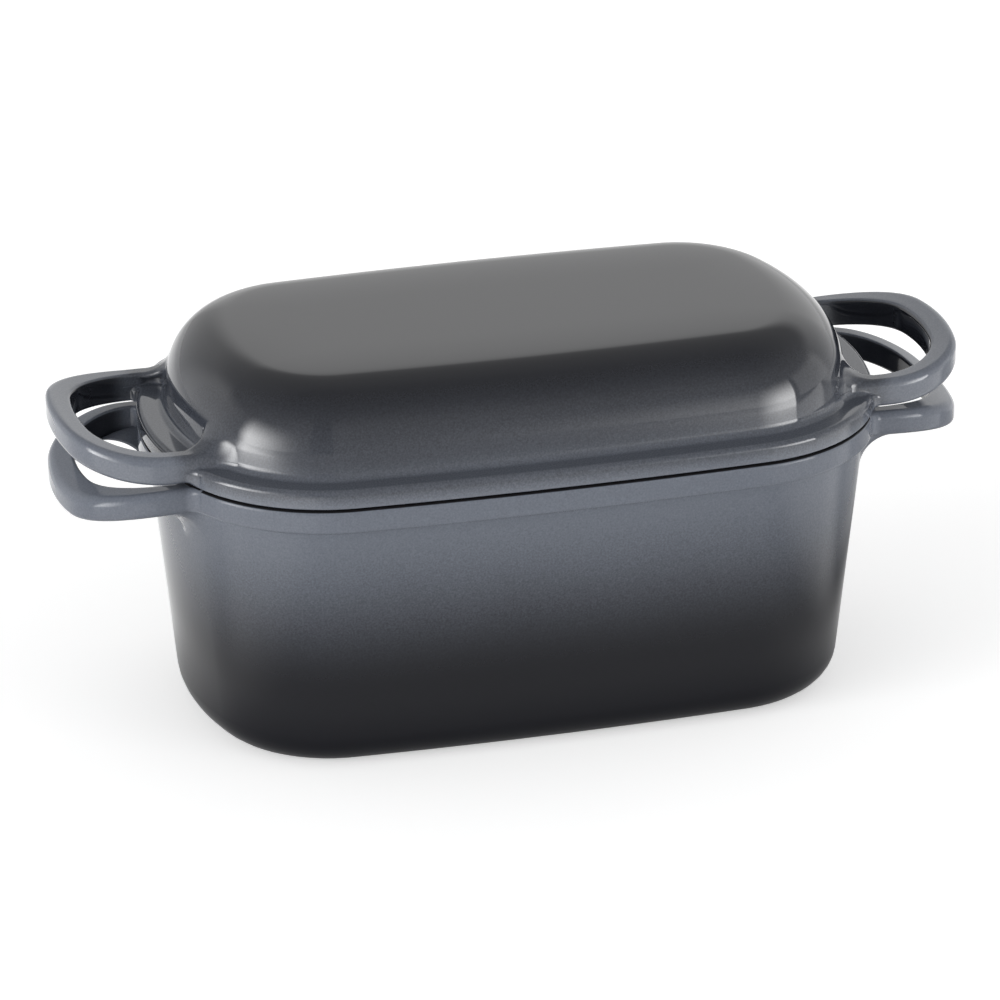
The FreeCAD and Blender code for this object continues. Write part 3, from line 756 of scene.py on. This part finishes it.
def enamel(name, settings, ior):
    """Faded gloss enamel: fine metallic grain in the grey and a slight orange peel. The inner sides of
    the handles are black, with 12 per cent of the outer coat left in as a painted reflection, and the
    inside of the casting is satin black."""
    material = bpy.data.materials.new(name)
    shader = Shader(material)
    place = shader.coordinates("Object")
    grain = shader.add("ShaderNodeTexNoise", {"Vector": place, "Scale": 1500.0, "Detail": 2.0})
    cloud = shader.add("ShaderNodeTexNoise", {"Vector": place, "Scale": 18.0, "Detail": 2.0})
    grey = shader.mark("grey")
    inner = shader.mark("inner")
    handle, inside = inner.ramp(0.0, 1.0), inner.ramp(1.5, 2.0)
    mottled = grey + grey * (1.0 - grey) * ((cloud - 0.5) * 0.5 + (grain - 0.5) * 1.2)
    sparkle = (grain - 0.5) * 0.55 + 1.0
    light = shader.add("ShaderNodeMix", {"Factor": 1.0, "A": rgba(settings.grey), "B": sparkle},
                       data_type="RGBA", blend_type="MULTIPLY")
    outer = mottled.over(rgba(settings.black), light)
    # Painted reflection: the black inner sides of the handles keep 12 per cent of the outer coat,
    # standing in for the reflection of the surround that the arms hide from them.
    handle_black_with_painted_reflection = (handle * 0.88).over(outer, rgba(settings.black))
    colour = inside.over(handle_black_with_painted_reflection, rgba(settings.inside))
    peel = shader.add("ShaderNodeTexNoise", {"Vector": place, "Scale": 130.0, "Detail": 1.0})
    height = peel + (grain - 0.5) * 0.02
    bump = shader.add("ShaderNodeBump", {"Height": height, "Strength": 0.05, "Distance": 0.0006})
    gloss = shader.add("ShaderNodeBsdfPrincipled", {
        "Base Color": colour, "Roughness": 0.5, "Specular IOR Level": 0.0, "Normal": bump,
        "Coat Weight": 1.0 - inside * 0.7, "Coat Roughness": 0.05, "Coat IOR": ior})
    shader.surface(gloss)
    return material


POT_FADE_POWER = 1.2

# Grey of the lid at shares of the way up its fade. The rise from 0.12 to 0.18 is painted light, not fade:
# it makes the level ledge lighter than the upright flange face below it.
LID_FADE_AND_LEDGE_LIGHT = ((0.0, 1.0), (0.06, 0.64), (0.12, 0.48), (0.165, 0.52), (0.18, 0.62), (0.31, 0.40),
            (0.53, 0.26), (0.72, 0.16), (0.89, 0.07), (1.0, 0.02))


def fade_of(points, settings, lid):
    """Share of grey from 1 to 0 for points in millimetres. The pot darkens towards its foot. The lid
    darkens towards its top, with painted light that makes its level ledge lighter, and its handles,
    outside the rim, stay grey."""
    height = points[..., 2] * MM
    if not lid:
        return fade(height, settings.pot_fade_foot, settings.pot_fade_head) ** POT_FADE_POWER
    share = (height - settings.lid_fade_foot) / (settings.lid_fade_head - settings.lid_fade_foot)
    level = np.interp(share, *zip(*LID_FADE_AND_LEDGE_LIGHT))
    apart = fade(-setback_at(points[..., 0], points[..., 1]), 0.5, 8.0)
    return apart + (1 - apart) * level


class CASSEROLE_OT_pot(bpy.types.Operator):
    """Gives the pot its enamel, grey at the rim and black at the foot"""
    bl_idname = "casserole.pot"
    bl_label = "Enamel the pot"

    def execute(self, context):
        settings = context.scene.enamel
        pot = new_piece("pot_casting", pot_sheets(), lambda points: fade_of(points, settings, False))
        pot.data.materials.append(enamel("Pot_enamel", settings, 1.33))
        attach(pot, "root")
        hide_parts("pot")
        return {"FINISHED"}


class CASSEROLE_OT_lid(bpy.types.Operator):
    """Gives the lid its enamel, grey at the flange and black at the top"""
    bl_idname = "casserole.lid"
    bl_label = "Enamel the lid"

    def execute(self, context):
        settings = context.scene.enamel
        lid = new_piece("lid_casting", lid_sheets(), lambda points: fade_of(points, settings, True))
        lid.data.materials.append(enamel("Lid_enamel", settings, 1.5))
        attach(lid, "root")
        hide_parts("lid")
        return {"FINISHED"}


# Studio

LEFT_BOX_SHARE = 1.2
MIRRORED_BOX_SHARE = 0.85
PATCH_SHADE = 0.45
SIDE_PANEL = 0.7


def add_camera(studio):
    """A camera on a sphere round the aim point, leant by its roll."""
    level = math.cos(studio.elevation)
    back_x, back_y = math.sin(studio.azimuth) * level, -math.cos(studio.azimuth) * level
    back = Vector((back_x, back_y, math.sin(studio.elevation)))
    right = Vector((0, 0, 1)).cross(back).normalized()
    up = back.cross(right)
    lean_right = right * math.cos(studio.roll) + up * math.sin(studio.roll)
    lean_up = up * math.cos(studio.roll) - right * math.sin(studio.roll)
    camera = bpy.data.objects.new("Camera", bpy.data.cameras.new("Camera"))
    turn = Matrix((lean_right, lean_up, back)).transposed()
    place = Vector((0, 0, studio.aim_height)) + back * studio.distance
    camera.matrix_world = Matrix.Translation(place) @ turn.to_4x4()
    camera.data.sensor_width = 36.0
    camera.data.lens = studio.lens
    camera.data.shift_x = studio.shift_x
    camera.data.shift_y = studio.shift_y
    camera.data.clip_end = 50.0
    bpy.context.scene.collection.objects.link(camera)
    bpy.context.scene.camera = camera


def soft_boxes(turn, height):
    """The two soft boxes, as a share of their strength, for an azimuth in radians and the
    upright part of a direction. The left one fades on both sides, and the right one ends
    in a sharp edge. Both fade upwards."""
    left_side = turn.ramp(-1.66, -1.42) * (1.0 - turn.ramp(-1.5, -0.35)).power(2.0)
    left = left_side * (1.0 - height.ramp(0.12, 0.62))
    right_side = turn.ramp(0.04, 0.87).power(1.8) * (1.0 - turn.ramp(1.01, 1.035))
    right = right_side * (1.0 - height.ramp(0.0, 0.5))
    return left * LEFT_BOX_SHARE + right


def around_object(x, y):
    """0 on the floor under the pot, and 1 beyond a soft edge: the distance from a
    rectangle inside the base, less the radius of the base's corners."""
    half_length, half_width, corner, edge = 72 * MM, 20 * MM, 46 * MM, 40 * MM
    across = (abs(x) - half_length).at_least(0.0)
    along = (abs(y) - half_width).at_least(0.0)
    return ((across.squared() + along.squared()).root() - corner).ramp(0.0, edge)


def floor_mesh():
    """One square a little under the base, so that the two don't share a plane."""
    half, level = 6.0, -0.2 * MM
    mesh = bpy.data.meshes.new("Floor")
    corners = [(-half, -half, level), (half, -half, level), (half, half, level), (-half, half, level)]
    mesh.from_pydata(corners, [], [(0, 1, 2, 3)])
    return mesh


def add_floor(studio):
    """A wide floor under the object that carries its shadow. The camera sees it as white.
    Reflections see it pale, with the soft boxes mirrored in it far from the object, a brighter front and
    sides, a darker patch beside the right end, and a painted contact shadow where its glow fades out near
    the object."""
    mesh = floor_mesh()
    floor = bpy.data.objects.new("Floor", mesh)
    bpy.context.scene.collection.objects.link(floor)
    material = bpy.data.materials.new("Floor")
    shader = Shader(material)
    x, y, z = shader.axes(shader.coordinates("Object"))
    # Away is 0 under and near the object, so the floor's glow in reflections fades out there: a painted
    # contact shadow.
    away = around_object(x, y)
    camera = shader.add("ShaderNodeLightPath", out="Is Camera Ray")
    share = soft_boxes(x.around(y), z)
    far = (x.squared() + y.squared()).root().ramp(0.45, 0.8)
    boxes = share * (share.ramp(0.1, 0.7) * 0.4 + 0.6) * far * studio.box_light
    ahead = 1.0 - y.ramp(-0.06, 0.0)
    beside = 1.0 - y.ramp(0.08, 0.2)
    distant = (1.0 - y.ramp(0.5, 1.5) * 0.6) * y.ramp(-0.55, -0.25)
    plain = away * (1.0 - x.ramp(0.12, 0.2) * beside) * distant * studio.floor_glow
    sides = ahead * away * ((1.0 - x.ramp(-0.21, -0.13)) * 0.9 + x.ramp(0.15, 0.21) * 1.2)
    mirror = shader.seen() - camera
    glow = camera * studio.floor_white
    glow += mirror * (plain + boxes * MIRRORED_BOX_SHARE + sides * distant)
    patch = x.ramp(0.09, 0.14) * (1.0 - x.ramp(0.18, 0.22)) * (1.0 - ahead) * beside
    pale = shader.add("ShaderNodeCombineColor", {"Red": glow, "Green": glow, "Blue": glow})
    colour = (mirror * patch * PATCH_SHADE).over(rgba(studio.floor), rgba((0, 0, 0)))
    paint = shader.add("ShaderNodeBsdfPrincipled", {
        "Base Color": colour, "Roughness": 1.0, "Specular IOR Level": 0.0,
        "Emission Color": pale, "Emission Strength": 1.0})
    shader.surface(paint)
    mesh.materials.append(material)


def height_of(degrees):
    """Upright part of a direction at an angle above the horizon."""
    return math.sin(math.radians(degrees))


def add_world(studio):
    """A surround that is full white where the camera sees it. It lights the object with a
    bright back that dims towards the ceiling, a plainer front with a gap, a panel on the
    right and the two soft boxes."""
    world = bpy.data.worlds.new("World")
    bpy.context.scene.world = world
    shader = Shader(world)
    x, y, height = shader.axes(shader.coordinates("Generated"))
    turn = x.around(y)
    behind = y.ramp(-0.2, 0.6)
    dim = height.ramp(height_of(26), height_of(38))
    over = height.ramp(height_of(65), height_of(88))
    dip = x.ramp(-0.6, -0.35) * (1.0 - x.ramp(-0.1, 0.15)) * (1.0 - dim)
    back = 1.1 - dim * 0.6 - over * 0.1 - dip * 0.4
    low = 1.0 - height.ramp(0.55, 0.97)
    gap = turn.ramp(-0.50, -0.46) * (1.0 - turn.ramp(-0.16, -0.12))
    front = 0.38 + low * (1.0 - gap) * 0.28
    panel = turn.ramp(1.08, 1.14) * (1.0 - turn.ramp(1.7, 1.9)) * (1.0 - height.ramp(0.36, 0.52))
    level = behind * back + (1.0 - behind) * front + panel * SIDE_PANEL
    level += soft_boxes(turn, height) * studio.box_light
    camera = shader.add("ShaderNodeLightPath", out="Is Camera Ray")
    strength = camera + (1.0 - camera) * level
    inputs = {"Color": (1, 1, 1, 1), "Strength": strength}
    shader.surface(shader.add("ShaderNodeBackground", inputs), "ShaderNodeOutputWorld")


class CASSEROLE_OT_studio(bpy.types.Operator):
    """Sets up the camera, the pale floor and the surround that lights the object"""
    bl_idname = "casserole.studio"
    bl_label = "Set up the studio"

    def execute(self, context):
        studio = context.scene.studio
        context.scene.view_settings.view_transform = "Standard"
        add_camera(studio)
        add_floor(studio)
        add_world(studio)
        return {"FINISHED"}


class CASSEROLE_PT_panel(bpy.types.Panel):
    """Lists the steps and the settings"""
    bl_idname = "CASSEROLE_PT_panel"
    bl_label = "Casserole"
    bl_space_type = "VIEW_3D"
    bl_region_type = "UI"
    bl_category = "Casserole"

    def draw(self, context):
        for settings in (context.scene.enamel, context.scene.studio):
            for name in settings.bl_rna.properties.keys():
                if name not in ("rna_type", "name"):
                    self.layout.prop(settings, name)
        for step in STEPS:
            self.layout.operator(step.bl_idname)


STEPS = (CASSEROLE_OT_pot, CASSEROLE_OT_lid, CASSEROLE_OT_studio)
CLASSES = (EnamelSettings, StudioSettings, *STEPS, CASSEROLE_PT_panel)


def register():
    for each in CLASSES:
        bpy.utils.register_class(each)
    bpy.types.Scene.enamel = PointerProperty(type=EnamelSettings)
    bpy.types.Scene.studio = PointerProperty(type=StudioSettings)


def unregister():
    del bpy.types.Scene.studio
    del bpy.types.Scene.enamel
    for each in reversed(CLASSES):
        bpy.utils.unregister_class(each)


def plain(box):
    return [[float(value) for value in corner] for corner in box]


def main():
    register()
    bpy.ops.casserole.pot()
    bpy.ops.casserole.lid()
    bpy.ops.casserole.studio()


if __name__ == "__main__":
    main()
